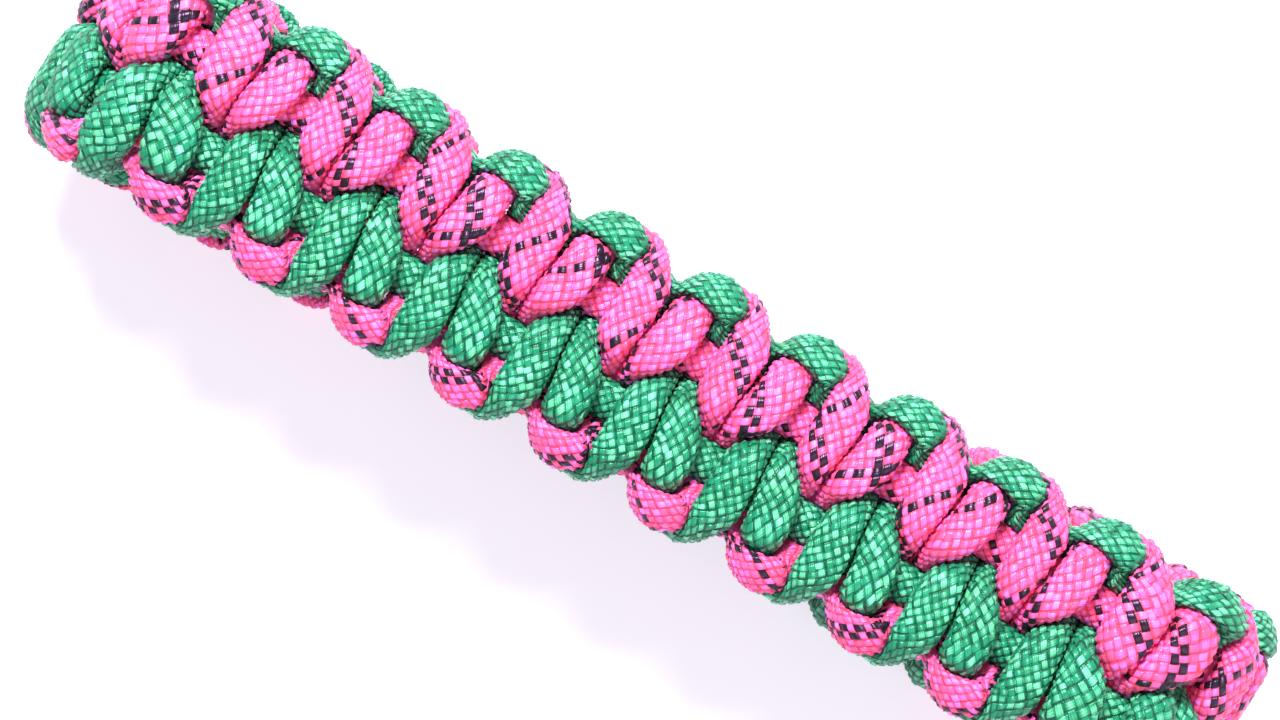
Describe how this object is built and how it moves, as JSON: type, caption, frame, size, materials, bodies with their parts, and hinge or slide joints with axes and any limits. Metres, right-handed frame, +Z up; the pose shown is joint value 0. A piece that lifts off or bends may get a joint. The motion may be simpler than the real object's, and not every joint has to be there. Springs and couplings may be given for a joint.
{
  "type": "paracord bracelet",
  "caption": "Closed two-colour knotted paracord bracelet lying flat, its wide band of linked V-shaped knots joined by a plain clasp underneath.",
  "frame": {"origin": "on the surface that the bracelet lies on, under the middle of the closed loop", "axes": "+X along the flattened loop, +Y across the band, +Z up, away from the surface"},
  "size_m": [0.1265, 0.0234, 0.0334],
  "materials": {
    "pink_cord": "braided nylon, fluorescent pink with black tracer yarns",
    "green_cord": "braided nylon, emerald green",
    "pink_core": "braided nylon, fluorescent pink with black tracer yarns",
    "green_core": "braided nylon, emerald green",
    "clasp": "fine satin moulded"
  },
  "bodies": {
    "root": {"pink_cord": "pink_cord", "green_cord": "green_cord", "pink_core": "pink_core", "green_core": "green_core", "clasp": "clasp"}
  },
  "joints": []
}
